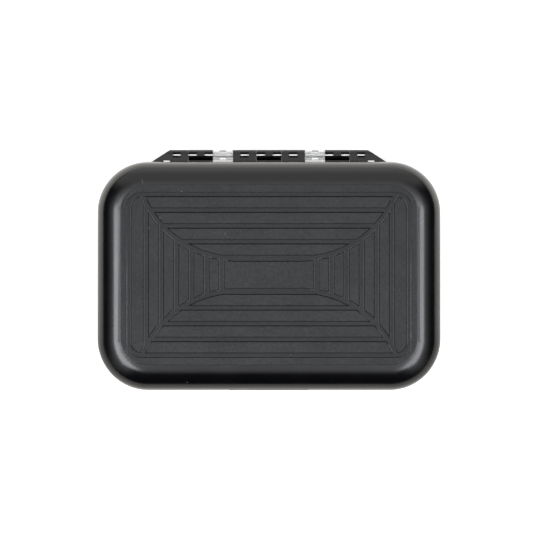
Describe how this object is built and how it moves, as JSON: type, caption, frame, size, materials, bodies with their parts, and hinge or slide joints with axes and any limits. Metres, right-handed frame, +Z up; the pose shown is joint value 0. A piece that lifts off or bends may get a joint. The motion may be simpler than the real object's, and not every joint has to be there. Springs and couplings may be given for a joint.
{
  "type": "fly box",
  "caption": "Low rectangular case with rounded edges, stepped relief on its broad faces, a long pin hinge, a clear swing leaf, a flush front latch and slit foam rows inside.",
  "frame": {"origin": "centre of the underside of the base, on the level of its raised pad", "axes": "+X along the hinge, +Y towards the hinge, +Z up; the lid closes on the base at half the height"},
  "size_m": [0.15, 0.1051, 0.04],
  "materials": {
    "shell_black": "satin",
    "latch_black": "satin",
    "leaf_clear": "gloss",
    "pin_steel": "polished",
    "gasket_rubber": "matte",
    "slit_foam": "matte"
  },
  "bodies": {
    "base": {"base_shell": "shell_black", "rim_gasket": "gasket_rubber", "hinge_pin": "pin_steel", "base_foam_row_1": "slit_foam", "base_foam_row_2": "slit_foam", "base_foam_row_3": "slit_foam", "base_foam_row_4": "slit_foam", "base_foam_row_5": "slit_foam", "base_foam_row_6": "slit_foam"},
    "lid": {"lid_shell": "shell_black", "lid_foam_row_1": "slit_foam", "lid_foam_row_2": "slit_foam", "lid_foam_row_3": "slit_foam", "lid_foam_row_4": "slit_foam", "lid_foam_row_5": "slit_foam", "lid_foam_row_6": "slit_foam"},
    "leaf": {"swing_leaf": "leaf_clear", "leaf_under_foam_row_1": "slit_foam", "leaf_under_foam_row_2": "slit_foam", "leaf_under_foam_row_3": "slit_foam", "leaf_under_foam_row_4": "slit_foam", "leaf_under_foam_row_5": "slit_foam", "leaf_under_foam_row_6": "slit_foam", "leaf_upper_foam_row_1": "slit_foam", "leaf_upper_foam_row_2": "slit_foam", "leaf_upper_foam_row_3": "slit_foam", "leaf_upper_foam_row_4": "slit_foam", "leaf_upper_foam_row_5": "slit_foam", "leaf_upper_foam_row_6": "slit_foam"},
    "latch": {"front_latch": "latch_black"}
  },
  "joints": [
    {"name": "lid_hinge", "type": "hinge", "parent": "base", "child": "lid", "pos_m": [0, 0.0531, 0.02], "axis": [-1, 0, 0], "range_deg": [0, 180]},
    {"name": "leaf_hinge", "type": "hinge", "parent": "base", "child": "leaf", "pos_m": [0, 0.0531, 0.02], "axis": [-1, 0, 0], "range_deg": [0, 90]},
    {"name": "latch_hinge", "type": "hinge", "parent": "lid", "child": "latch", "pos_m": [0, -0.0478, 0.02675], "axis": [-1, 0, 0], "range_deg": [0, 90]}
  ],
  "couplings": [
    {"joint": "leaf_hinge", "follows": "lid_hinge", "ratio": 0.5}
  ]
}
